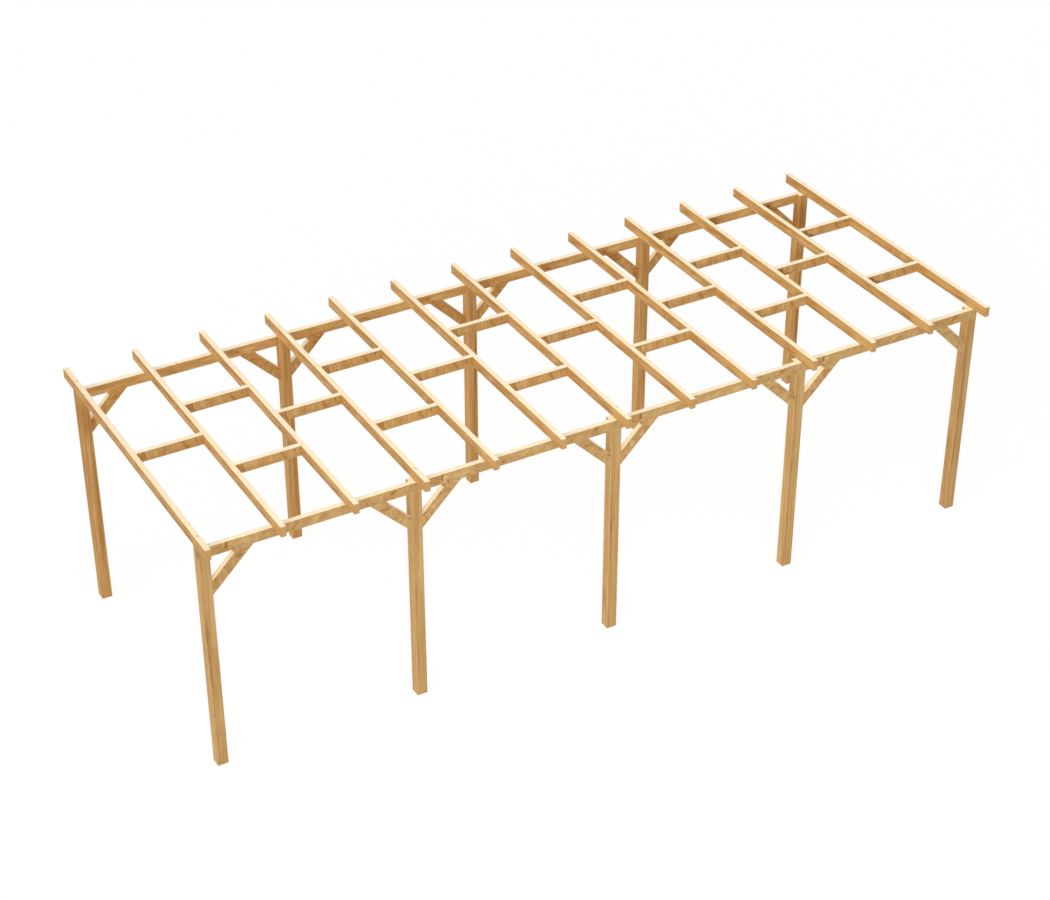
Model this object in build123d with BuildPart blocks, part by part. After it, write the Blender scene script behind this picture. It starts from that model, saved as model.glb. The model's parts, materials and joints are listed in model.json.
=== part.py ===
"""Wooden pergola: two lines of square posts with a beam along each line, 45 degree knee
braces, level rafters across both beams and short noggins between the rafters.

Millimetres. X runs along the beams, Y from the front line to the rear line, Z up.
The origin is on the ground, below the middle of the roof frame.
"""

from build123d import *

import os
from math import sqrt

os.makedirs("parts", exist_ok=True)

# Planed timber
post_side = 90
timber_width = 45
timber_depth = 90
arris = 1

# Posts and beams
bay_count = 4
post_pitch = 1800
frame_depth = 2590
beam_top = 2070
butt_gap = 1

# Knee braces
brace_reach = 350

# Rafters
rafters_per_bay = 3
front_overhang = 155
rear_overhang = 210
screw_pocket_diameter = 20
screw_pocket_depth = 5

# Noggins, from the frame's front face to the middle of each timber
front_row = 800
rear_row = 1800

# Worked out from the sizes above
beam_underside = beam_top - timber_depth
brace_mitre = timber_depth * sqrt(2)
frame_length = bay_count * post_pitch + timber_width
frame_left = -frame_length / 2
rafter_length = front_overhang + frame_depth + rear_overhang
front_face = front_overhang - rafter_length / 2
rear_face = front_face + frame_depth
rafter_count = bay_count * rafters_per_bay + 1
rafter_pitch = post_pitch / rafters_per_bay


def rafter_left(number):
    """Left face of rafter 1 to rafter_count."""
    return frame_left + (number - 1) * rafter_pitch


def post_middle(outward, number):
    """Middle of post 1 to bay_count + 1 along X, in the line that faces outward.

    Each post is flush with one side of the rafter above it: its left side for the first
    front post and for every rear post but the last, its right side for the others.
    """
    rafter = rafter_left((number - 1) * rafters_per_bay + 1)
    flush_left = number == 1 if outward < 0 else number <= bay_count
    if flush_left:
        return rafter + post_side / 2
    return rafter + timber_width - post_side / 2


def save(piece, label):
    """Label a finished piece and write it as a STEP file of that name."""
    piece.part.label = label
    export_step(piece.part, f"parts/{label}.step")


def slanting(edge):
    """True for an edge that runs both along X and up or down."""
    span = edge.bounding_box().size
    return min(span.X, span.Z) > arris


# Each line of the frame: its name, its outer face and the way outwards
lines = (("front", front_face, -1), ("rear", rear_face, 1))

for line, outer_face, outward in lines:
    post_y = outer_face - outward * post_side / 2
    beam_y = outer_face - outward * timber_width / 2

    for number in range(1, bay_count + 2):
        # Square post, its head halved on the outer side to carry the beam
        post_x = post_middle(outward, number)
        with BuildPart() as post:
            with BuildSketch(Plane.XY) as post_section:
                with Locations((post_x, post_y)):
                    Rectangle(post_side, post_side)
                chamfer(post_section.vertices(), arris)
            extrude(amount=beam_top)
            with Locations((post_x, beam_y, beam_underside)):
                Box(
                    post_side,
                    timber_width,
                    timber_depth,
                    align=(Align.CENTER, Align.CENTER, Align.MIN),
                    mode=Mode.SUBTRACT,
                )
        save(post, f"{line}_post_{number}")

        # Knee braces, mitred against the post's side and the beam's underside
        with BuildPart() as braces:
            for side in (-1, 1):
                has_bay = 1 <= number + (side - 1) / 2 <= bay_count
                if has_bay:
                    foot = post_x + side * post_side / 2
                    with BuildSketch(Plane.XZ.offset(-beam_y)):
                        with BuildLine():
                            Polyline(
                                (foot, beam_underside - brace_reach),
                                (foot + side * brace_reach, beam_underside),
                                (foot + side * (brace_reach - brace_mitre), beam_underside),
                                (foot, beam_underside - brace_reach + brace_mitre),
                                close=True,
                            )
                        make_face()
                    extrude(amount=timber_width / 2, both=True)
            chamfer(braces.edges().filter_by(slanting), arris)
        save(braces, f"{line}_braces_{number}")

    for number in range(1, bay_count + 1):
        # One beam length to a bay, butted over the middle of the posts
        left_end = post_middle(outward, number) + butt_gap / 2
        right_end = post_middle(outward, number + 1) - butt_gap / 2
        if number == 1:
            left_end = frame_left
        if number == bay_count:
            right_end = frame_left + frame_length
        with BuildPart() as beam:
            with BuildSketch(Plane.YZ.offset(left_end)) as beam_section:
                with Locations((beam_y, beam_top)):
                    Rectangle(timber_width, timber_depth, align=(Align.CENTER, Align.MAX))
                chamfer(beam_section.vertices(), arris)
            extrude(amount=right_end - left_end)
        save(beam, f"{line}_beam_{number}")

for number in range(1, rafter_count + 1):
    # Rafter resting on both beams, with square ends beyond them. Over a post it has a
    # round pocket for the head of the screw that goes down into the post
    over_post = (number - 1) % rafters_per_bay == 0
    with BuildPart() as rafter:
        with BuildSketch(Plane.XZ.offset(rafter_length / 2)) as rafter_section:
            with Locations((rafter_left(number), beam_top)):
                Rectangle(timber_width, timber_depth, align=(Align.MIN, Align.MIN))
            chamfer(rafter_section.vertices(), arris)
        extrude(amount=-rafter_length)
        if over_post:
            for line, outer_face, outward in lines:
                pocket_x = rafter_left(number) + timber_width / 2
                pocket_y = outer_face - outward * post_side / 2
                with Locations((pocket_x, pocket_y, beam_top + timber_depth)):
                    Cylinder(
                        screw_pocket_diameter / 2,
                        screw_pocket_depth,
                        align=(Align.CENTER, Align.CENTER, Align.MAX),
                        mode=Mode.SUBTRACT,
                    )
    save(rafter, f"rafter_{number:02d}")

# Noggins as deep as the rafters: one at mid length in the odd gaps between rafters, two in
# the even gaps
noggin_rows = (
    ("front", 2, front_face + front_row),
    ("middle", 1, 0),
    ("rear", 2, front_face + rear_row),
)
for row, first_gap, noggin_y in noggin_rows:
    with BuildPart() as noggins:
        for gap in range(first_gap, rafter_count, 2):
            left_end = rafter_left(gap) + timber_width
            with BuildSketch(Plane.YZ.offset(left_end)) as noggin_section:
                with Locations((noggin_y, beam_top)):
                    Rectangle(timber_width, timber_depth, align=(Align.CENTER, Align.MIN))
                chamfer(noggin_section.vertices(), arris)
            extrude(amount=rafter_pitch - timber_width)
    save(noggins, f"noggins_{row}_row")
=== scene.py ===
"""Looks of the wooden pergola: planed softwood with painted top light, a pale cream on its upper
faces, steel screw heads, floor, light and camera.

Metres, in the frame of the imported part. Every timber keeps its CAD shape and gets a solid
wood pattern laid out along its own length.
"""

import json
from collections import namedtuple
from math import cos, pi, radians, sin, sqrt

import bmesh
import bpy
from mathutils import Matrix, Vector


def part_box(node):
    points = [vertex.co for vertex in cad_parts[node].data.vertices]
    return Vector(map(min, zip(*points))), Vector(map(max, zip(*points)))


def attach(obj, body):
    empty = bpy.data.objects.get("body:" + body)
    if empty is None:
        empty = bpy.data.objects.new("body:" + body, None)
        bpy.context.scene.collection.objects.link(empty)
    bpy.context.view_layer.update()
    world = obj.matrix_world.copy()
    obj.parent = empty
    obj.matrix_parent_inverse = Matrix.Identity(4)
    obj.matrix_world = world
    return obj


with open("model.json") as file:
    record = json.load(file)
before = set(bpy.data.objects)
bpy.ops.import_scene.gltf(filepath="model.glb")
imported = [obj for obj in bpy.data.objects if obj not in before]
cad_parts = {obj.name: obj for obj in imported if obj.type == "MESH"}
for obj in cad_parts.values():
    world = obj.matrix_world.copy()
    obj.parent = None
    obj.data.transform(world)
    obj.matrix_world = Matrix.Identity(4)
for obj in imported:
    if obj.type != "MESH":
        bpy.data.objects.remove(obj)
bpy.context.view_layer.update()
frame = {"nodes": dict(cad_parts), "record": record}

# Read from the frame
slots = {part["node"]: part["material_slot"] for part in frame["record"]["subparts"]}
post_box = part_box("front_post_1")
beam_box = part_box("front_beam_1")
half_post = (post_box[1].x - post_box[0].x) / 2
half_depth = (beam_box[1].z - beam_box[0].z) / 2
half_width = (beam_box[1].y - beam_box[0].y) / 2
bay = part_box("front_beam_3")[0].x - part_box("front_beam_2")[0].x
rafter_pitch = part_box("rafter_02")[0].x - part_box("rafter_01")[0].x


# ---- Tools for shader nodes ----

class Web:
    """Short calls that add and join shader nodes in one tree."""

    def __init__(self, tree):
        self.tree = tree

    def add(self, kind, inputs=(), **settings):
        """A new node. Each input named here is joined to a socket or set to a value."""
        node = self.tree.nodes.new(kind)
        for name, value in settings.items():
            setattr(node, name, value)
        for key, value in dict(inputs).items():
            self.feed(node.inputs[key], value)
        return node

    def feed(self, socket, value):
        if isinstance(value, bpy.types.NodeSocket):
            self.tree.links.new(value, socket)
        else:
            socket.default_value = value

    def math(self, operation, *values, clamp=False):
        node = self.add("ShaderNodeMath", enumerate(values), operation=operation,
                        use_clamp=clamp)
        return node.outputs[0]

    def less(self, value, by):
        return self.math("SUBTRACT", value, by)

    def plus(self, value, share, total):
        """total + share * value"""
        return self.math("MULTIPLY_ADD", value, share, total)

    def centred(self, noise, share, total):
        """total + share * (noise - 0.5), so that the mean of the total stays"""
        return self.plus(self.less(noise, 0.5), share, total)

    def vector(self, x, y, z):
        return self.add("ShaderNodeCombineXYZ", {0: x, 1: y, 2: z}).outputs[0]

    def split(self, vector):
        return self.add("ShaderNodeSeparateXYZ", {0: vector}).outputs

    def arrow(self, operation, *values):
        """Vector maths"""
        node = self.add("ShaderNodeVectorMath", enumerate(values), operation=operation)
        return node.outputs["Value" if operation in ("LENGTH", "DOT_PRODUCT") else "Vector"]

    def laid(self, place, size, slant=0.0, middle=(0, 0)):
        """place counted in spans of this size, from a middle, with its first axis slanted"""
        node = self.add("ShaderNodeMapping", {
            "Vector": place, "Location": (*middle, 0), "Rotation": (0, 0, radians(slant)),
            "Scale": size}, vector_type="TEXTURE")
        return node.outputs[0]

    def noise(self, place, detail=2.0, roughness=0.5, distortion=0.0, output="Fac"):
        node = self.add("ShaderNodeTexNoise", {
            "Vector": place, "Scale": 1.0, "Detail": detail,
            "Roughness": roughness, "Distortion": distortion})
        return node.outputs[output]

    def remap(self, value, low, high, to_low=0.0, to_high=1.0, smooth=True):
        kind = "SMOOTHSTEP" if smooth else "LINEAR"
        node = self.add("ShaderNodeMapRange", {
            "Value": value, "From Min": low, "From Max": high,
            "To Min": to_low, "To Max": to_high}, interpolation_type=kind)
        return node.outputs[0]

    def blend(self, share, first, second, how="MIX"):
        """Two colours mixed. The node takes colours at inputs 6 and 7 and gives output 2."""
        node = self.add("ShaderNodeMix", {0: share, 6: first, 7: second},
                        data_type="RGBA", blend_type=how)
        return node.outputs[2]

    def ramp(self, value, stops):
        node = self.add("ShaderNodeValToRGB", {0: value})
        points = node.color_ramp.elements
        while len(points) < len(stops):
            points.new(0.5)
        for point, (position, shade) in zip(points, stops):
            point.position = position
            point.color = shade
        return node.outputs[0]


def new_group(name, inputs, outputs):
    """An empty node group: its web, what it is given and what it gives back."""
    tree = bpy.data.node_groups.new(name, "ShaderNodeTree")
    for way, sockets in (("INPUT", inputs), ("OUTPUT", outputs)):
        for socket, kind in sockets.items():
            tree.interface.new_socket(socket, in_out=way, socket_type="NodeSocket" + kind)
    web = Web(tree)
    given = web.add("NodeGroupInput").outputs
    result = web.add("NodeGroupOutput").inputs
    return web, given, result


def new_material(name):
    material = bpy.data.materials.new(name)
    material.use_nodes = True
    material.node_tree.nodes.clear()
    return material, Web(material.node_tree)


def colour(red, green, blue):
    """A colour given as 0 to 255 display values, as the shader's linear colour."""
    def linear(value):
        value = value / 255
        return value / 12.92 if value <= 0.04045 else ((value + 0.055) / 1.055) ** 2.4
    return (linear(red), linear(green), linear(blue), 1.0)


# ---- Figure: what sets the kinds of timber apart ----

# Cloudy patches, so long along the timber and so wide across it, slanting by degrees
Mottle = namedtuple("Mottle", "length width slant")

# A patch darker and redder than the wood, or paler and less red where darkness is below 0. It
# lies so far along and across the timber, from its start and its middle line, and slants by
# degrees
Mark = namedtuple("Mark", "along across half_length half_width slant darkness")

# The figure of one kind of timber. The two shares say how strongly its mottle and its streaks
# show, depth darkens the wood, warmth reddens it, knots is the share of possible places that
# have a small knot, and ends is how dark the end grain is
Look = namedtuple("Look", "mottle mottle_share streak_share depth warmth knots ends marks")

# Half width of a mark that covers the whole width of its timber
whole = 0.300

post_marks = (
    Mark(0.95, -0.030, 1.00, 0.010, 0, 0.60),     # brown band up the left side
    Mark(1.12, -0.008, 0.050, 0.005, 1, 1.10),    # flame
    Mark(1.05, -0.031, 0.090, 0.007, 0, 0.60),
    Mark(1.25, 0.002, 0.022, 0.004, 0, 0.70),
    Mark(1.20, 0.008, 0.060, 0.006, 0, -1.00),
    Mark(0.50, -0.035, 0.022, 0.008, 0, 0.90),
    Mark(1.57, 0.022, 0.040, 0.004, 0, 0.80),
    Mark(1.45, 0.022, 0.45, 0.022, 0, -0.50),     # paler upper right
    Mark(0.20, -0.004, 0.16, 0.006, 0, -0.60),
)
rear_post_marks = (
    Mark(1.02, 0.023, 0.92, 0.011, 0, 1.30),      # dark band up the right side
    Mark(1.78, 0.000, 0.28, 0.007, 0, 1.10),      # stripes at the head
    Mark(1.82, -0.016, 0.26, 0.005, 0, 1.30),
    Mark(1.40, -0.006, 0.40, 0.006, 0, -0.60),
    Mark(0.60, 0.008, 0.40, 0.007, 0, 0.60),
    Mark(0.75, -0.022, 0.35, 0.006, 0, -0.50),
)
first_rear_post_marks = (
    *rear_post_marks,
    Mark(1.00, -0.050, 1.60, 0.012, 0, 1.05),     # painted shade: darker left side
    Mark(1.85, 0.000, 0.20, whole, 0, 0.55),      # painted shade: browner head
)
last_rear_post_marks = (
    *rear_post_marks,
    Mark(1.84, 0.000, 0.17, whole, 0, 1.10),      # painted shade: reddish head, and browner below it
    Mark(1.40, 0.000, 0.10, whole, 0, 0.60),
    Mark(0.85, 0.000, 0.35, whole, 0, 0.40),
)
front_beam_marks = (
    Mark(0.226, 0.036, 0.010, 0.014, 40, 2.40),   # knot cut lengthwise, as a wavy spike
    Mark(0.219, 0.014, 0.006, 0.020, -12, 2.60),
    Mark(0.226, -0.006, 0.005, 0.018, 10, 2.20),
    Mark(0.276, -0.029, 0.014, 0.005, -45, 2.40), # pin knot below it
    Mark(0.165, 0.000, 0.075, 0.060, 0, 0.40),    # brown wood before the knot
    Mark(0.255, 0.012, 0.022, 0.012, -20, -1.60), # pale tip of the figure after it
    Mark(0.420, -0.002, 0.17, 0.034, 0, -0.50),
    Mark(0.765, -0.010, 0.024, 0.007, 50, 1.60),
    Mark(0.800, 0.020, 0.030, 0.005, 50, 0.90),
    Mark(0.945, 0.000, 0.012, 0.050, -50, -1.30), # pale bars aslant
    Mark(0.975, 0.000, 0.010, 0.050, -50, -1.00),
    Mark(1.130, 0.000, 0.090, 0.050, 0, -0.30),
    Mark(1.380, -0.014, 0.006, 0.020, 0, 1.80),
    Mark(1.405, 0.010, 0.005, 0.018, 5, 1.10),
    Mark(1.470, -0.004, 0.005, 0.020, -5, 1.10),
    Mark(1.530, 0.012, 0.005, 0.016, 0, 0.90),
    Mark(1.605, 0.020, 0.030, 0.018, 20, 1.60),   # reddish blotch
    Mark(1.570, -0.005, 0.060, 0.010, 15, 0.80),
)
rear_beam_marks = (
    Mark(0.260, 0.020, 0.140, 0.020, -4, 0.50),
    Mark(0.360, -0.030, 0.120, 0.010, 4, 0.80),
    Mark(0.560, 0.000, 0.080, 0.014, 8, -0.70),
    Mark(0.850, 0.042, 0.014, 0.010, 0, 2.40),
    Mark(0.800, -0.020, 0.050, 0.010, -25, 1.00),
    Mark(1.150, 0.010, 0.120, 0.016, 5, -0.80),
    Mark(1.386, -0.002, 0.024, 0.012, -35, 2.00), # leaning knot
    Mark(1.440, -0.037, 0.050, 0.009, -8, 1.80),
    Mark(1.480, -0.002, 0.080, 0.020, 0, -1.20),
    Mark(1.330, 0.010, 0.040, 0.030, -30, 0.60),
)
noggin_marks = (
    Mark(0.024, 0.000, 0.046, 0.080, 0, 0.45),    # brown end, partly painted shade beside the rafter, bounded by a dark arc
    Mark(0.063, 0.020, 0.005, 0.034, -2, 1.90),
    Mark(0.076, -0.024, 0.005, 0.026, 34, 1.90),
    Mark(0.080, 0.012, 0.009, 0.034, 0, -1.10),
    Mark(0.096, -0.024, 0.009, 0.024, 34, -0.80),
    Mark(0.120, 0.000, 0.070, 0.060, 0, -0.40),
    Mark(0.135, -0.027, 0.012, 0.007, 0, 0.90),
    Mark(0.155, 0.006, 0.016, 0.045, 0, -0.80),
    Mark(0.228, -0.004, 0.018, 0.055, -3, 0.50),
    Mark(0.304, 0.004, 0.010, 0.036, 4, -1.00),
    Mark(0.348, 0.010, 0.008, 0.022, -25, -0.70),
    Mark(0.402, 0.000, 0.016, 0.060, 28, 0.90),   # reddish blotch aslant
    Mark(0.425, -0.020, 0.006, 0.030, 30, 1.20),
    Mark(0.396, 0.032, 0.012, 0.010, 0, 0.90),
    Mark(0.496, 0.018, 0.005, 0.022, -4, 3.00),   # dark stroke
    Mark(0.480, -0.010, 0.008, 0.020, 0, -0.70),
    Mark(0.520, 0.010, 0.012, 0.030, 0, -0.40),
)
rafter_marks = (
    Mark(1.450, 0.000, 0.80, 0.20, 0, 0.25),      # browner middle
    Mark(0.700, -0.040, 0.60, 0.012, 0, 0.60),    # darker lower edge in front
    Mark(2.400, 0.034, 0.80, 0.012, 0, 0.35),     # darker upper edge behind
    Mark(2.500, -0.030, 0.50, 0.012, 0, -0.35),
    Mark(0.130, 0.014, 0.190, 0.048, 0, -0.50),   # paler front end
    Mark(0.330, -0.018, 0.090, 0.014, -5, 0.90),
    Mark(0.480, 0.012, 0.110, 0.012, -4, -0.70),
    Mark(0.770, -0.026, 0.090, 0.009, 0, 0.90),
    Mark(0.850, 0.012, 0.050, 0.009, -6, 0.80),
    Mark(1.150, 0.000, 0.060, 0.030, -20, -0.80),
    Mark(1.330, -0.012, 0.030, 0.014, -20, 0.80),
    Mark(1.480, 0.010, 0.140, 0.016, 0, -0.60),
    Mark(1.780, 0.012, 0.080, 0.012, -6, 1.00),
    Mark(1.760, -0.008, 0.200, 0.030, 0, -0.80),
    Mark(2.050, -0.004, 0.070, 0.016, -10, -0.90),
    Mark(2.650, -0.012, 0.200, 0.024, 0, -0.45),
    Mark(2.220, 0.018, 0.160, 0.012, -3, 1.00),
    Mark(2.430, -0.004, 0.110, 0.020, -6, 0.80),
    Mark(2.790, 0.000, 0.150, 0.030, 0, 0.25),    # reddish rear end
)
brace_marks = (
    Mark(0.117, -0.018, 0.008, 0.030, -40, -1.50),
    Mark(0.190, -0.004, 0.018, 0.050, -45, -0.70),
    Mark(0.100, 0.034, 0.030, 0.010, -20, 1.20),
    Mark(0.225, 0.030, 0.014, 0.024, -45, 0.60),
    Mark(0.295, 0.000, 0.014, 0.010, 40, -1.20),
    Mark(0.365, -0.010, 0.018, 0.050, 48, 0.80),  # reddish figure aslant
    Mark(0.405, -0.024, 0.008, 0.020, 30, -0.90),
    Mark(0.415, 0.040, 0.007, 0.010, 0, 2.20),
    Mark(0.445, 0.000, 0.009, 0.044, 30, -0.90),
    Mark(0.465, 0.000, 0.006, 0.044, 26, 0.90),
    Mark(0.490, 0.004, 0.008, 0.044, 24, -0.60),
)


def beam_with_painted_shadows(darkness):
    """The rear beam's marks, and a reddish painted shadow of this darkness to the right of each
    rafter.
    """
    return (
        *rear_beam_marks,
        Mark(0.150, 0.000, 0.080, 0.070, -30, darkness),
        Mark(0.760, -0.005, 0.080, 0.060, -30, darkness),
        Mark(1.380, -0.008, 0.080, 0.052, -30, darkness),
    )


def brace_with_painted_shade(darkness):
    """The braces' marks, and reddish painted shade of this darkness at the head."""
    return (*brace_marks, Mark(0.470, 0.000, 0.100, whole, 0, darkness))


# Mottling follows the grain of posts, rafters and rear beams. In front beams, braces and
# noggins it runs more across the grain, as in figured wood
straight = Mottle(0.60, 0.016, 0)
fibrous = Mottle(0.22, 0.018, -5)
rippled = Mottle(0.14, 0.034, -6)
figured = Mottle(0.050, 0.090, -35)
banded = Mottle(0.030, 0.180, -4)

front_post = Look(
    mottle=straight, mottle_share=0.30, streak_share=0.90, depth=0.02, warmth=0.16,
    knots=0.06, ends=0.33, marks=post_marks)
rear_post = front_post._replace(
    streak_share=0.95, depth=-0.01, warmth=0.62, marks=rear_post_marks)
front_beam = Look(
    mottle=figured, mottle_share=0.95, streak_share=0.35, depth=0.00, warmth=0.12,
    knots=0.05, ends=0.62, marks=front_beam_marks)
# Rear beams carry a painted shadow to the right of each rafter
rear_beam = Look(
    mottle=rippled, mottle_share=0.90, streak_share=0.40, depth=-0.08, warmth=0.65,
    knots=0.05, ends=0.62, marks=beam_with_painted_shadows(0.25))
front_brace = Look(
    mottle=figured, mottle_share=0.90, streak_share=0.30, depth=0.02, warmth=0.10,
    knots=0.03, ends=0.33, marks=brace_marks)
# Rear braces carry painted shade at the head, deeper on the right-hand ones
rear_brace = front_brace._replace(depth=0.00, warmth=0.85, marks=brace_with_painted_shade(0.50))
right_brace = rear_brace._replace(marks=brace_with_painted_shade(1.80))
noggin = Look(
    mottle=banded, mottle_share=0.62, streak_share=0.35, depth=-0.08, warmth=0.52,
    knots=0.05, ends=0.33, marks=noggin_marks)
rafter = Look(
    mottle=fibrous, mottle_share=0.90, streak_share=0.50, depth=-0.01, warmth=0.59,
    knots=0.04, ends=0.33, marks=rafter_marks)

# A node takes the first look here that its own name starts with
looks = {
    # Painted shade on the first and the last rear post
    "rear_post_1": rear_post._replace(depth=-0.02, warmth=0.46, marks=first_rear_post_marks),
    "rear_post_5": rear_post._replace(marks=last_rear_post_marks),
    "front_post": front_post,
    "rear_post": rear_post,
    "front_beam": front_beam,
    # Deeper painted shadows to the right of the rafters on the last rear beams
    "rear_beam_4": rear_beam._replace(marks=beam_with_painted_shadows(1.70)),
    "rear_beam_3": rear_beam._replace(marks=beam_with_painted_shadows(0.90)),
    "rear_beam": rear_beam,
    "front_braces": front_brace,
    # Deeper painted shade at the head of the last rear braces
    "rear_braces_5": right_brace,
    "rear_braces_4": right_brace,
    "rear_braces": rear_brace,
    "noggins_front": noggin,
    "noggins_middle": noggin._replace(depth=-0.03),
    "noggins_rear": noggin._replace(depth=-0.02, warmth=0.55),
    "rafter": rafter,
}

# Painted shade: depth added for members that get less light than the others with their look
darker = {"rafter_01": 0.08, "front_post_5": 0.08, "rear_post_2": 0.03}


# ---- Wood: node groups that the timbers share ----

# How far the figure and the grain move, along, across and through, for each step of the seed
figure_step = (4.1, 2.3, 1.7)
grain_step = (7.31, 3.17, 5.73)

# Ragged outlines of the marks: the size of their waves and how far these reach. From its
# middle, a mark is full to the first of these shares of its half sizes and gone at the second
wave_size = (0.050, 0.016, 0.016)
wave_reach = (0.018, 0.010, 0.010)
mark_full, mark_gone = 0.3, 1.25

# Half size of a mark through its timber, far beyond it: marks show alike on both faces
endless = 1000

# Sizes of the parts of the grain, along, across and through
knot_spacing = (0.50, 0.12, 0.12)
pith_bend = (0.90, 0.20, 0.20)
broad_size = (0.60, 0.070, 0.070)
streak_size = (0.70, 0.014, 0.014)
fine_size = (0.14, 0.0024, 0.0024)
hue_size = (0.16, 0.036, 0.036)

# Small knots: radius of the smallest and the largest as shares of their spacing, and the soft
# edges of a knot and of its halo, from the outer to the inner one, in radii
knot_radius = (0.05, 0.11)
knot_edge = (1.15, 0.75)
halo_edge = (3.6, 0.8)

# Year rings: how far across the timber from its middle their pith may lie, and how far through
# it, how far they bend, and how close they are. The slice is the line through the noise that
# places the pith
pith_slice = (0.37, 0.81)
pith_across = 0.10
pith_through = 0.035
bend_reach = 0.045
bend_at_halo = 0.012
bend_at_mark = 0.009
rings_per_metre = 185

# Latewood darkens from the first to the second share of a ring, and ends much more sharply
late_rise = (0.25, 0.9)
late_fall = (1.0, 0.93)

# What the tone of the wood is made of, from pale, 0, to dark, 1
middle_tone = 0.45
broad_share = 0.20
fine_share = 0.35
latewood_share = 0.26
halo_share = 0.16
mark_share = 0.17

# End grain: rays round the pith, and how much they and the rings show
rays_per_radian = 26
ray_share = 0.45
end_ring_share = 0.42

# How much marks redden the wood, and how much less red its ends are. Marks paler than the
# wood take off this share of what dark ones add
mark_warmth = 0.48
end_warmth = -0.30
pale_mark_share = 0.5

# Painted top light: faces turned up are painted a pale cream, as if lit strongly from above.
# Given are the upward parts of their normal from which it begins and is full, the upward parts
# from which they count as sloping, and the tones between which the cream changes
upward_edge = (0.35, 0.62)
sloping_edge = (0.95, 0.75)
cream_tones = (0.25, 0.7)

# Wear at the arrises: where it is gone and where it is full, as distances from both faces
# added up, how far streaks shift it, and how strong it is
wear_edge = (0.0065, 0.003)
wear_sway = 0.004
wear_strength = 0.22

# How strongly knots show in the wood and in the cream, and sloping faces in the cream
knot_strength = 0.7
cream_knot_strength = 0.35
sloping_strength = 0.7

# Roughness of the palest wood, what the darkest tone adds to it and what a knot takes off
pale_roughness = 0.56
tone_roughness = 0.16
knot_roughness = -0.12

# How proud the parts of the pattern stand, as shares of the relief
relief = 0.0008
fine_height = 0.5
late_height = 0.35
knot_height = 0.3

honey = (
    (0.00, colour(222, 192, 134)),
    (0.25, colour(206, 171, 113)),
    (0.50, colour(187, 149, 93)),
    (0.75, colour(161, 119, 67)),
    (1.00, colour(116, 74, 38)),
)
orange_tint = (1.0, 0.80, 0.51, 1)
knot_brown = colour(116, 72, 40)
light_cream = colour(255, 244, 219)
dark_cream = colour(248, 224, 179)
sloping_cream = colour(246, 226, 182)
cream_knot = colour(205, 160, 105)
worn_wood = colour(232, 200, 150)


def seeded_place(web, given, step):
    """The place moved by the seed, so that no two timbers have the same fine pattern."""
    return web.arrow("ADD", given["Place"], web.arrow("MULTIPLY", given["Seed"], step))


def make_figure_group(name, look):
    """Broad figure of one kind of timber. Place runs along, across and through it."""
    web, given, result = new_group(
        f"{name}_figure", {"Place": "Vector", "Seed": "Float"},
        {"Marks": "Float", "Mottle": "Float"})
    length, width, slant = look.mottle
    place = web.laid(seeded_place(web, given, figure_step), (length, width, width), slant)
    mottle = web.noise(place, detail=5.0, roughness=0.68, distortion=0.8)
    web.feed(result["Mottle"], mottle)

    # The marks' outlines are ragged, along the grain more than across it
    waves = web.noise(web.laid(given["Place"], wave_size), output="Color")
    sway = web.arrow("MULTIPLY", web.arrow("SUBTRACT", waves, (0.5, 0.5, 0.5)), wave_reach)
    place = web.arrow("ADD", given["Place"], sway)
    marks = 0.0
    for mark in look.marks:
        spans = web.laid(place, (mark.half_length, mark.half_width, endless), mark.slant,
                         (mark.along, mark.across))
        patch = web.remap(web.arrow("LENGTH", spans), mark_gone, mark_full)
        marks = web.plus(patch, mark.darkness, marks)
    web.feed(result["Marks"], marks)
    return web.tree


def small_knots(web, given, place):
    """Rare stretched knots, and round each a halo where the grain bends."""
    cells = web.add("ShaderNodeTexVoronoi", {
        "Vector": web.laid(place, knot_spacing), "Scale": 1.0, "Randomness": 1.0},
        feature="F1")
    chance = web.split(cells.outputs["Color"])
    present = web.math("GREATER_THAN", given["Knots"], chance[0])
    radius = web.remap(chance[1], 0.0, 1.0, *knot_radius, smooth=False)
    radii_off = web.math("DIVIDE", cells.outputs["Distance"], radius)
    knot = web.math("MULTIPLY", present, web.remap(radii_off, *knot_edge))
    halo = web.math("MULTIPLY", present, web.remap(radii_off, *halo_edge))
    return knot, halo


def year_rings(web, given, place, halo):
    """Lines of latewood round a pith that bends and swells at knots and marks, and the angle
    round that pith."""
    across, through = web.split(given["Place"])[1:]
    pith = web.noise(web.vector(given["Seed"], *pith_slice), detail=0.0)
    off_across = web.plus(pith, pith_across, across)
    off_through = web.math("ADD", through, pith_through)
    squared = web.plus(off_across, off_across, web.math("MULTIPLY", off_through, off_through))
    bend = web.noise(web.laid(place, pith_bend))
    radius = web.plus(bend, bend_reach, web.math("SQRT", squared))
    radius = web.plus(halo, bend_at_halo, radius)
    radius = web.plus(given["Marks"], bend_at_mark, radius)
    ring = web.math("FRACT", web.math("MULTIPLY", radius, rings_per_metre))
    late = web.math("MULTIPLY", web.remap(ring, *late_rise), web.remap(ring, *late_fall))
    return late, web.math("ARCTAN2", off_through, off_across)


def wood_tone(web, given, broad, streak, fine, late, halo):
    """How dark the wood is, from 0 to 1."""
    tone = web.math("ADD", given["Depth"], middle_tone)
    tone = web.centred(given["Mottle"], given["Mottle share"], tone)
    tone = web.centred(streak, given["Streak share"], tone)
    tone = web.centred(broad, broad_share, tone)
    tone = web.centred(fine, fine_share, tone)
    tone = web.plus(web.math("MULTIPLY", late, broad), latewood_share, tone)
    tone = web.plus(halo, halo_share, tone)
    return web.math("ADD", tone, web.math("MULTIPLY", given["Marks"], mark_share), clamp=True)


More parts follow.
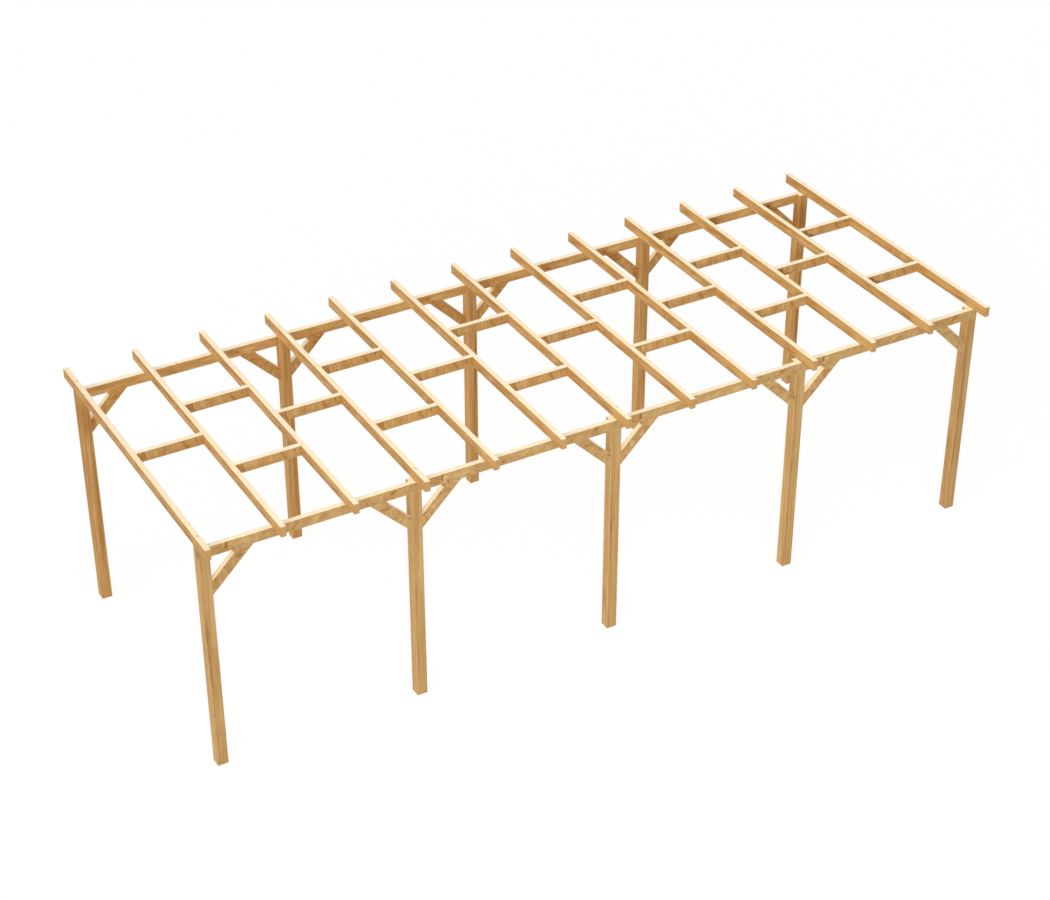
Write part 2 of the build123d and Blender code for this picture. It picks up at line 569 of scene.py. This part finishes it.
def end_grain(web, given, late, turn):
    """Colour of a sawn end, with year rings and rays."""
    spokes = web.vector(web.math("MULTIPLY", turn, rays_per_radian), given["Seed"], 0.0)
    tone = web.plus(late, end_ring_share, given["Ends"])
    tone = web.centred(web.noise(spokes, detail=3.0), ray_share, tone)
    return web.ramp(tone, honey)


def warmed(web, given, place, wood):
    """Wood reddened in soft patches and at marks, and less so on its ends."""
    hue = web.noise(web.laid(place, hue_size), detail=3.0, roughness=0.6)
    warmth = web.centred(hue, 1.0, given["Warmth"])
    # Pale marks are below 0, so for them the smaller share is the larger number
    lessened = web.math("MULTIPLY", given["Marks"], pale_mark_share)
    warmth = web.plus(web.math("MAXIMUM", given["Marks"], lessened), mark_warmth, warmth)
    warmth = web.plus(given["End grain"], end_warmth, warmth)
    return web.blend(warmth, wood, web.blend(1.0, wood, orange_tint, "MULTIPLY"))


def painted_top_light(web, given, wood, tone, knot):
    """Painted top light: faces turned up are painted a pale cream, as if lit strongly from
    above, that keeps a trace of the grain.
    """
    facing = web.split(web.add("ShaderNodeNewGeometry").outputs["Normal"])[2]
    upward = web.math("MULTIPLY", web.remap(facing, *upward_edge), given["Bleach"])
    cream = web.blend(web.remap(tone, *cream_tones, smooth=False), light_cream, dark_cream)
    cream = web.blend(web.math("MULTIPLY", knot, cream_knot_strength), cream, cream_knot)
    slope = web.math("MULTIPLY", web.remap(facing, *sloping_edge), sloping_strength)
    cream = web.blend(slope, cream, sloping_cream)
    return web.blend(upward, wood, cream)


def worn(web, given, wood, streak):
    """Arrises handled to a lighter edge."""
    across, through = web.split(given["Place"])[1:]
    to_side = web.less(given["Half across"], web.math("ABSOLUTE", across))
    to_face = web.less(given["Half through"], web.math("ABSOLUTE", through))
    inside = web.plus(streak, wear_sway, web.math("ADD", to_side, to_face))
    wear = web.remap(inside, *wear_edge)
    return web.blend(web.math("MULTIPLY", wear, wear_strength), wood, worn_wood)


def make_timber_group():
    """Solid softwood pattern. Place runs along, across and through the timber."""
    numbers = ("Seed", "Half across", "Half through", "End grain", "Marks", "Mottle",
               "Mottle share", "Streak share", "Depth", "Warmth", "Knots", "Ends", "Bleach")
    web, given, result = new_group(
        "timber", {"Place": "Vector", **dict.fromkeys(numbers, "Float")},
        {"Color": "Color", "Roughness": "Float", "Height": "Float"})
    place = seeded_place(web, given, grain_step)
    knot, halo = small_knots(web, given, place)
    late, turn = year_rings(web, given, place, halo)

    # Streaks of three widths along the grain
    broad = web.noise(web.laid(place, broad_size))
    streak = web.noise(web.laid(place, streak_size), detail=4.0, roughness=0.68)
    fine = web.noise(web.laid(place, fine_size), detail=4.0, roughness=0.6)

    tone = wood_tone(web, given, broad, streak, fine, late, halo)
    wood = web.ramp(tone, honey)
    wood = web.blend(given["End grain"], wood, end_grain(web, given, late, turn))
    wood = warmed(web, given, place, wood)
    wood = web.blend(web.math("MULTIPLY", knot, knot_strength), wood, knot_brown)
    # Painted top light: faces turned up are painted pale, as if lit strongly from above
    wood = painted_top_light(web, given, wood, tone, knot)
    web.feed(result["Color"], worn(web, given, wood, streak))

    rough = web.plus(tone, tone_roughness, pale_roughness)
    web.feed(result["Roughness"], web.plus(knot, knot_roughness, rough))
    height = web.plus(fine, fine_height, web.math("MULTIPLY", late, late_height))
    web.feed(result["Height"], web.plus(knot, knot_height, height))
    return web.tree


# ---- Layouts: where a point lies in its own timber ----

# The place along, across and through the timber, what to add to its seed and to its marks as
# painted shadow, and how much of the painted top light it gets
Layout = namedtuple("Layout", "place seed shade bleach", defaults=(0.0, 0.0, 1.0))

# Noggins of a row stand in every second gap. The slack keeps the whole of a noggin's left end
# in its own count
noggin_step = 2 * rafter_pitch
count_slack = 0.02
noggin_seed_step = 0.613

# Painted shadow of the rafter on the lower left corners of the noggins: how long it is at mid
# depth, at the end and the start of a soft edge, and how much longer for each metre below that.
# It shows from the first place along the frame and is darkest from the second
corner_shadow_edge = (0.062, 0.038)
corner_shadow_slant = 0.55
corner_shadows_begin = bay
corner_shadows_full = 1.7 * bay
corner_shadow_darkness = 2.2

# Painted shade: braces lose the painted top light to this depth below the beam, from the start
# to the end of a soft edge
under_beam_shade_edge = (0.026, 0.036)
brace_seed_step = 0.291

# How far a step of 1 along a 45 degree brace goes out and up
diagonal = sqrt(0.5)


def middle_of(name):
    low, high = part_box(name)
    return (low + high) / 2


def post_layout(web, name, x, y, z):
    middle = middle_of(name)
    return Layout(web.vector(z, web.less(x, middle.x), web.less(y, middle.y)))


def beam_layout(web, name, x, y, z):
    """Front beams start at their left end, rear beams a bay before their right end: the last
    front beam and the first rear beam are longer than a bay."""
    low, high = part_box(name)
    start = low.x if name.startswith("front") else high.x - bay
    middle = middle_of(name)
    return Layout(web.vector(web.less(x, start), web.less(z, middle.z), web.less(y, middle.y)))


def rafter_layout(web, name, x, y, z):
    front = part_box(name)[0].y
    middle = middle_of(name)
    return Layout(web.vector(web.less(y, front), web.less(z, middle.z), web.less(x, middle.x)))


def noggin_layout(web, name, x, y, z):
    """Each noggin of a row starts its own pattern. Towards the right end of the frame a brown
    shadow of the rafter is painted on their lower left corners."""
    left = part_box(name)[0].x
    middle = middle_of(name)
    steps = web.math("DIVIDE", web.less(x, left - count_slack), noggin_step)
    count = web.math("FLOOR", steps)
    along = web.plus(count, -noggin_step, web.less(x, left))
    across = web.less(z, middle.z)
    corner_shadow = web.remap(web.plus(along, corner_shadow_slant, across), *corner_shadow_edge)
    darkness = web.remap(x, corner_shadows_begin, corner_shadows_full, 0.0, corner_shadow_darkness, smooth=False)
    return Layout(
        web.vector(along, across, web.less(y, middle.y)),
        seed=web.math("MULTIPLY", count, noggin_seed_step),
        shade=web.math("MULTIPLY", corner_shadow, darkness))


def brace_layout(web, name, x, y, z):
    """Braces slant away from both sides of their post, so both are measured from it. Close
    under the beam their top faces get painted shade in place of the painted top light."""
    low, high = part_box(name)
    aside = web.less(x, middle_of(name.replace("braces", "post")).x)
    out = web.less(web.math("ABSOLUTE", aside), half_post)
    up = web.less(z, low.z)
    along = web.math("MULTIPLY", web.math("ADD", out, up), diagonal)
    across = web.plus(web.less(up, out), diagonal, -half_depth)
    return Layout(
        web.vector(along, across, web.less(y, middle_of(name).y)),
        seed=web.math("MULTIPLY", web.math("SIGN", aside), brace_seed_step),
        bleach=web.remap(web.less(high.z, z), *under_beam_shade_edge))


# For each material slot: the axis whose ends show end grain, which braces don't show, the
# layout and half the section
post_section = (half_post, half_post)
plank_section = (half_depth, half_width)
kinds = {
    "posts": ((0, 0, 1), post_layout, post_section),
    "beams": ((1, 0, 0), beam_layout, plank_section),
    "rafters": ((0, 1, 0), rafter_layout, plank_section),
    "noggins": ((1, 0, 0), noggin_layout, plank_section),
    "braces": ((0, 0, 0), brace_layout, plank_section),
}


# ---- Timbers ----

timber_group = make_timber_group()
figure_groups = {start: make_figure_group(start, look) for start, look in looks.items()}

# How far the seed moves from one node to the next
seed_step = 1.377

# How far along its timber a face looks where end grain begins and where it is full
end_edge = (0.85, 0.95)


def timber_material(name, seed):
    """Wood for one CAD node."""
    start = next(start for start in looks if name.startswith(start))
    look = looks[start]
    axis, layout, section = kinds[slots[name]]
    material, web = new_material(f"{name}_wood")
    point = web.add("ShaderNodeTexCoord").outputs["Object"]
    laid = layout(web, name, *web.split(point))
    seed = web.math("ADD", laid.seed, seed)
    normal = web.add("ShaderNodeNewGeometry").outputs["Normal"]
    facing_along = web.math("ABSOLUTE", web.arrow("DOT_PRODUCT", normal, axis))
    figure = web.add("ShaderNodeGroup", node_tree=figure_groups[start])
    web.feed(figure.inputs["Place"], laid.place)
    web.feed(figure.inputs["Seed"], seed)
    wood = web.add("ShaderNodeGroup", node_tree=timber_group)
    given = {
        "Place": laid.place,
        "Seed": seed,
        "Half across": section[0],
        "Half through": section[1],
        "End grain": web.remap(facing_along, *end_edge),
        "Marks": web.math("ADD", figure.outputs["Marks"], laid.shade),
        "Mottle": figure.outputs["Mottle"],
        "Mottle share": look.mottle_share,
        "Streak share": look.streak_share,
        "Depth": look.depth + darker.get(name, 0),
        "Warmth": look.warmth,
        "Knots": look.knots,
        "Ends": look.ends,
        "Bleach": laid.bleach,
    }
    for key, value in given.items():
        web.feed(wood.inputs[key], value)
    bump = web.add("ShaderNodeBump", {
        "Strength": 0.35, "Distance": relief, "Height": wood.outputs["Height"]})
    shader = web.add("ShaderNodeBsdfPrincipled", {
        "Base Color": wood.outputs["Color"], "Roughness": wood.outputs["Roughness"],
        "Normal": bump.outputs[0], "Specular IOR Level": 0.3})
    web.add("ShaderNodeOutputMaterial", {0: shader.outputs[0]})
    return material


def round_edges(thing, name, width, sharpness):
    """Bevel the edges of a thing that turn by more than this many degrees."""
    bevel = thing.modifiers.new(name, "BEVEL")
    bevel.width = width
    bevel.segments = 2
    bevel.limit_method = "ANGLE"
    bevel.angle_limit = radians(sharpness)


for order, (name, node) in enumerate(sorted(frame["nodes"].items())):
    node.data.materials.clear()
    node.data.materials.append(timber_material(name, order * seed_step))
    round_edges(node, "planed_edges", width=0.0004, sharpness=30)


# ---- Screw heads: washer-faced, with a six-lobed recess, one in each pocket of the rafters ----

screw_radius = 0.0085
recess_radius = 0.0029
recess_taper = 0.0002
recess_lobe = 0.0005
lobes = 6
screw_steps = 48

# Depths between which the floor of a pocket lies below the top of its rafter
shallowest_floor = 0.002
deepest_floor = 0.02

# Zinc: its colours, and the size of its clouds and of its grain
light_zinc = colour(246, 244, 238)
dark_zinc = colour(232, 228, 214)
cloud_size = (0.004, 0.004, 0.004)
grain_size = (0.0005, 0.0005, 0.0005)


def steel_material():
    material, web = new_material("zinc_plated_steel")
    place = web.add("ShaderNodeTexCoord").outputs["Object"]
    cloud = web.noise(web.laid(place, cloud_size), detail=3.0)
    grain = web.noise(web.laid(place, grain_size))
    shade = web.blend(cloud, light_zinc, dark_zinc)
    rough = web.centred(grain, 0.2, web.plus(cloud, 0.2, 0.25))
    bump = web.add("ShaderNodeBump", {"Strength": 0.2, "Distance": 0.0001, "Height": grain})
    shader = web.add("ShaderNodeBsdfPrincipled", {
        "Base Color": shade, "Metallic": 1.0, "Roughness": rough, "Normal": bump.outputs[0]})
    web.add("ShaderNodeOutputMaterial", {0: shader.outputs[0]})
    return material


def add_screw_head(mesh, seat):
    """Lathe one head, standing on its seat. The recess is the part of the profile that waves."""
    profile = (  # radius, height above the seat, wave
        (0.0078, 0.0, 0),
        (screw_radius, 0.0005, 0),
        (screw_radius, 0.0014, 0),
        (0.0080, 0.0019, 0),
        (0.0058, 0.0024, 0),
        (0.0046, 0.0031, 0),
        (0.0040, 0.0035, 0),
        (recess_radius, 0.0036, recess_lobe),
        (recess_radius - recess_taper, 0.0014, recess_lobe),
    )
    rings = []
    for radius, height, wave in profile:
        ring = []
        for step in range(screw_steps):
            turn = 2 * pi * step / screw_steps
            reach = radius + wave * cos(lobes * turn)
            point = Vector((reach * cos(turn), reach * sin(turn), height))
            ring.append(mesh.verts.new(seat + point))
        rings.append(ring)
    for low, high in zip(rings, rings[1:]):
        for step in range(screw_steps):
            after = (step + 1) % screw_steps
            mesh.faces.new((low[step], low[after], high[after], high[step]))
    mesh.faces.new(reversed(rings[0]))
    mesh.faces.new(rings[-1])


def pocket_floors(name):
    """Middle of each pocket floor in a rafter, the front one first."""
    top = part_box(name)[1].z
    ring = [vertex.co for vertex in frame["nodes"][name].data.vertices
            if shallowest_floor < top - vertex.co.z < deepest_floor]
    for side in (-1, 1):
        floor_points = [point for point in ring if point.y * side > 0]
        if floor_points:
            yield sum(floor_points, Vector()) / len(floor_points)


def add_screws(name, seats):
    """The screw heads of one rafter, as one piece."""
    build = bmesh.new()
    for seat in seats:
        add_screw_head(build, seat)
    mesh = bpy.data.meshes.new(f"{name}_screws")
    build.to_mesh(mesh)
    build.free()
    mesh.shade_smooth()
    mesh.materials.append(steel)
    heads = bpy.data.objects.new(f"{name}_screws", mesh)
    bpy.context.scene.collection.objects.link(heads)
    round_edges(heads, "crisp_edges", width=0.00012, sharpness=35)
    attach(heads, "root")


steel = steel_material()
for name in sorted(frame["nodes"]):
    seats = list(pocket_floors(name)) if slots[name] == "rafters" else []
    if seats:
        add_screws(name, seats)


# ---- Floor: plain and pale, and it keeps a soft shadow ----

floor_reach = 60
floor_white = (0.86, 0.86, 0.86, 1)
glow_strength = 1.04
glow_share = 0.80

scene = bpy.context.scene


def seen_directly(web):
    """1 for rays from the camera, a reflection or through glass, 0 for rays that light."""
    path = web.add("ShaderNodeLightPath").outputs
    return web.math("MAXIMUM", path["Is Camera Ray"],
                    web.math("MAXIMUM", path["Is Glossy Ray"], path["Is Transmission Ray"]))


def floor_material():
    """Matt paint. What is seen directly is mostly an even white glow."""
    material, web = new_material("floor_paint")
    matt = web.add("ShaderNodeBsdfDiffuse", {"Color": floor_white})
    glow = web.add("ShaderNodeEmission", {"Color": (1, 1, 1, 1), "Strength": glow_strength})
    share = web.math("MULTIPLY", seen_directly(web), glow_share)
    paper = web.add("ShaderNodeMixShader", {0: share, 1: matt.outputs[0], 2: glow.outputs[0]})
    web.add("ShaderNodeOutputMaterial", {0: paper.outputs[0]})
    return material


turns = ((-1, -1), (1, -1), (1, 1), (-1, 1))
floor_mesh = bpy.data.meshes.new("floor")
floor_mesh.from_pydata([(floor_reach * x, floor_reach * y, 0) for x, y in turns],
                       [], [(0, 1, 2, 3)])
floor_mesh.materials.append(floor_material())
floor = bpy.data.objects.new("floor", floor_mesh)
scene.collection.objects.link(floor)


# ---- Light: an even white sky, wide suns above and from the left, and a softbox in front ----

sky_light = 0.42
softbox_place = (-1.3, -6.5, 4.5)
softbox_aim = (0.2, 7.0, -2.9)

world = bpy.data.worlds.new("sky")
scene.world = world
world.use_nodes = True
world.node_tree.nodes.clear()
web = Web(world.node_tree)
strength = web.plus(seen_directly(web), 1.0 - sky_light, sky_light)
sky = web.add("ShaderNodeBackground", {"Color": (1, 1, 1, 1), "Strength": strength})
web.add("ShaderNodeOutputWorld", {0: sky.outputs[0]})


def add_lamp(name, kind, aim, energy, **settings):
    """A lamp of this kind that shines along its aim. The settings are those of its light."""
    light = bpy.data.lights.new(name, kind)
    light.energy = energy
    for key, value in settings.items():
        setattr(light, key, value)
    lamp = bpy.data.objects.new(name, light)
    lamp.rotation_euler = Vector(aim).to_track_quat("-Z", "Y").to_euler()
    scene.collection.objects.link(lamp)
    return lamp


def from_sky(azimuth, elevation):
    """Direction of light that comes from this azimuth, 0 in front and 90 on the right."""
    turn, rise = radians(azimuth), radians(elevation)
    return (-sin(turn) * cos(rise), cos(turn) * cos(rise), -sin(rise))


add_lamp("overhead", "SUN", (0, 0, -1), energy=1.0, angle=radians(30), use_shadow=False)
add_lamp("key", "SUN", from_sky(-45, 22), energy=0.85, angle=radians(60))
add_lamp("side", "SUN", from_sky(-80, 15), energy=1.2, angle=radians(60), use_shadow=False)
softbox = add_lamp(
    "softbox", "AREA", softbox_aim, energy=92, shape="RECTANGLE", size=6, size_y=3)
softbox.location = softbox_place


# ---- Camera ----

# It stands here and looks this many degrees to the right and down. The sensor and the lens
# are in millimetres
camera_place = (-8.3144, -14.4149, 11.889)
right_turn, down_turn = 29.6404, 33.1293
sensor_width = 36
lens = 78.8756
farthest = 200

camera_data = bpy.data.cameras.new("camera")
camera_data.sensor_fit = "HORIZONTAL"
camera_data.sensor_width = sensor_width
camera_data.lens = lens
camera_data.clip_end = farthest
camera = bpy.data.objects.new("camera", camera_data)
camera.location = camera_place
camera.rotation_euler = (radians(90 - down_turn), 0, -radians(right_turn))
scene.collection.objects.link(camera)
scene.camera = camera

scene.view_settings.view_transform = "Standard"
